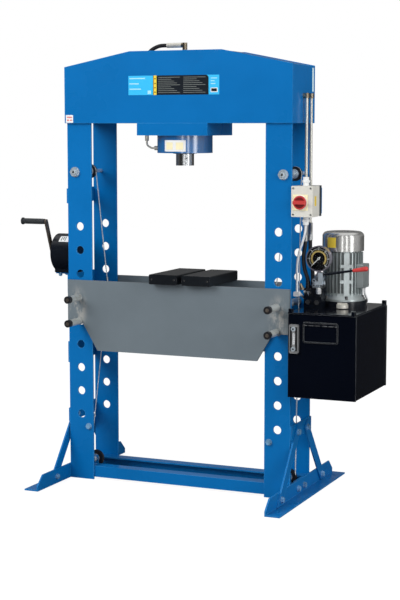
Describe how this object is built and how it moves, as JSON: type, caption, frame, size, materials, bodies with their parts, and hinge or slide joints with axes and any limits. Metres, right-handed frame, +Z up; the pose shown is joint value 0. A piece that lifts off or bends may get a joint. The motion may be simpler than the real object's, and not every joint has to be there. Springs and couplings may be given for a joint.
{
  "type": "hydraulic workshop press",
  "caption": "Floor-standing H-frame hydraulic press with a winch-lifted table on locking pins, a hydraulic cylinder in the head and a motor-driven power unit on the side.",
  "frame": {"origin": "centre of the frame on the floor, the middle of the floor bolt pattern", "axes": "+Z up, +X to the power unit's side, +Y to the rear"},
  "size_m": [1.5294, 0.814, 1.842],
  "materials": {
    "frame_blue": "semi-gloss powder coat",
    "table_grey": "satin grey paint, worn at the pins",
    "bright_steel": "machined",
    "zinc": "zinc plated",
    "chromed_rod": "hard chromed and polished",
    "black_paint": "semi-gloss black",
    "tank_black": "high gloss black",
    "block_black": "satin black",
    "wheel_black": "moulded",
    "motor_silver": "cast and painted silver",
    "brass": "dull",
    "hose_black": "matt",
    "cable_white": "smooth",
    "switch_cream": "moulded",
    "switch_dark": "moulded",
    "knob_red": "moulded",
    "rope_steel": "galvanised strands",
    "crank_steel": "dull, slightly rusty",
    "pump_iron": "as cast",
    "glass": "clear"
  },
  "bodies": {
    "frame": {"posts_left": "frame_blue", "posts_right": "frame_blue", "head_front_plate": "frame_blue", "head_rear_plate": "frame_blue", "head_closing_plates": "frame_blue", "cylinder_mount": "frame_blue", "cylinder_barrel": "frame_blue", "cylinder_housing": "frame_blue", "frame_brackets": "frame_blue", "foot_left": "frame_blue", "foot_right": "frame_blue", "braces": "frame_blue", "base_beams": "frame_blue", "frame_bolts": "zinc", "pulley_axles": "zinc", "winch_bracket": "frame_blue", "winch_housing": "black_paint", "winch_rope": "rope_steel", "cross_rope": "rope_steel", "lift_rope_left": "rope_steel", "return_rope_left": "rope_steel", "lift_rope_right": "rope_steel", "tank_body": "tank_black", "tank_lid": "tank_black", "sight_glass": "glass", "oil_pump": "pump_iron", "motor_body": "motor_silver", "fan_cover": "motor_silver", "valve_block": "block_black", "valve_stack": "bright_steel", "gauge_case": "bright_steel", "gauge_glass": "glass", "steel_pipes": "zinc", "pipe_fittings": "brass", "hoses": "hose_black", "switch_box": "switch_dark", "switch_cover": "switch_cream", "motor_cable": "cable_white"},
    "ram": {"ram": "chromed_rod"},
    "pulley_top_left": {"pulley_top_left": "wheel_black"},
    "pulley_top_right": {"pulley_top_right": "wheel_black"},
    "pulley_bottom_left": {"pulley_bottom_left": "wheel_black"},
    "pulley_bottom_right": {"pulley_bottom_right": "wheel_black"},
    "winch_drum": {"winch_drum": "rope_steel"},
    "crank_arm": {"crank_arm": "crank_steel"},
    "crank_grip": {"crank_grip": "wheel_black"},
    "table": {"table_front_plate": "table_grey", "table_rear_plate": "table_grey", "table_cross_plates": "table_grey", "press_block_left": "block_black", "press_block_right": "block_black"},
    "pin_upper_left": {"pin_upper_left": "bright_steel"},
    "pin_upper_right": {"pin_upper_right": "bright_steel"},
    "pin_lower_left": {"pin_lower_left": "bright_steel"},
    "pin_lower_right": {"pin_lower_right": "bright_steel"},
    "valve_lever": {"valve_lever": "knob_red"},
    "switch_knob": {"switch_knob": "knob_red"},
    "gauge_needle": {"gauge_needle": "cable_white"},
    "motor_rotor": {"motor_rotor": "bright_steel"},
    "filler_cap": {"filler_cap": "bright_steel"}
  },
  "joints": [
    {"name": "ram_stroke", "type": "slide", "parent": "frame", "child": "ram", "axis": [0, 0, 1], "range_m": [-0.2, 0]},
    {"name": "table_lift", "type": "slide", "parent": "frame", "child": "table", "axis": [0, 0, 1], "range_m": [-0.3, 0.3], "deforming": ["lift_rope_left", "lift_rope_right", "return_rope_left"]},
    {"name": "pin_upper_left_pull", "type": "slide", "parent": "table", "child": "pin_upper_left", "axis": [0, -1, 0], "range_m": [0, 0.3]},
    {"name": "pin_upper_right_pull", "type": "slide", "parent": "table", "child": "pin_upper_right", "axis": [0, -1, 0], "range_m": [0, 0.3]},
    {"name": "pin_lower_left_pull", "type": "slide", "parent": "table", "child": "pin_lower_left", "axis": [0, -1, 0], "range_m": [0, 0.3]},
    {"name": "pin_lower_right_pull", "type": "slide", "parent": "table", "child": "pin_lower_right", "axis": [0, -1, 0], "range_m": [0, 0.3]},
    {"name": "winch_turn", "type": "hinge", "parent": "frame", "child": "winch_drum", "pos_m": [-0.55, -0.02, 0.975], "axis": [1, 0, 0], "continuous": true},
    {"name": "crank_turn", "type": "hinge", "parent": "frame", "child": "crank_arm", "pos_m": [-0.617, -0.02, 0.918], "axis": [1, 0, 0], "continuous": true},
    {"name": "grip_turn", "type": "hinge", "parent": "crank_arm", "child": "crank_grip", "pos_m": [-0.68, -0.089, 1.096], "axis": [1, 0, 0], "continuous": true},
    {"name": "pulley_top_left_turn", "type": "hinge", "parent": "frame", "child": "pulley_top_left", "pos_m": [-0.465, 0.015, 1.31], "axis": [0, 1, 0], "continuous": true},
    {"name": "pulley_top_right_turn", "type": "hinge", "parent": "frame", "child": "pulley_top_right", "pos_m": [0.465, 0.015, 1.31], "axis": [0, 1, 0], "continuous": true},
    {"name": "pulley_bottom_left_turn", "type": "hinge", "parent": "frame", "child": "pulley_bottom_left", "pos_m": [-0.446, 0.015, 0.062], "axis": [0, 1, 0], "continuous": true},
    {"name": "pulley_bottom_right_turn", "type": "hinge", "parent": "frame", "child": "pulley_bottom_right", "pos_m": [0.446, 0.015, 0.062], "axis": [0, 1, 0], "continuous": true},
    {"name": "valve_lever_swing", "type": "hinge", "parent": "frame", "child": "valve_lever", "pos_m": [0.592, -0.02, 0.908], "axis": [0, 1, 0], "range_deg": [-20, 20]},
    {"name": "switch_turn", "type": "hinge", "parent": "frame", "child": "switch_knob", "pos_m": [0.54, -0.14, 1.202], "axis": [0, 1, 0], "range_deg": [0, 90]},
    {"name": "gauge_needle_turn", "type": "hinge", "parent": "frame", "child": "gauge_needle", "pos_m": [0.573, 0.001, 0.971], "axis": [0, 1, 0], "range_deg": [0, 270]},
    {"name": "motor_spin", "type": "hinge", "parent": "frame", "child": "motor_rotor", "pos_m": [0.633, 0.135, 0.9], "axis": [0, 0, 1], "continuous": true},
    {"name": "filler_cap_turn", "type": "hinge", "parent": "frame", "child": "filler_cap", "pos_m": [0.67, 0.018, 0.778], "axis": [0, 0, 1], "range_deg": [0, 90]}
  ],
  "couplings": [
    {"joint": "crank_turn", "follows": "winch_turn", "ratio": -4.1818},
    {"joint": "pulley_top_left_turn", "follows": "winch_turn", "ratio": 1.2727},
    {"joint": "pulley_top_right_turn", "follows": "winch_turn", "ratio": -1.2727},
    {"joint": "pulley_bottom_left_turn", "follows": "winch_turn", "ratio": -1.1864},
    {"joint": "pulley_bottom_right_turn", "follows": "winch_turn", "ratio": -1.1864}
  ]
}
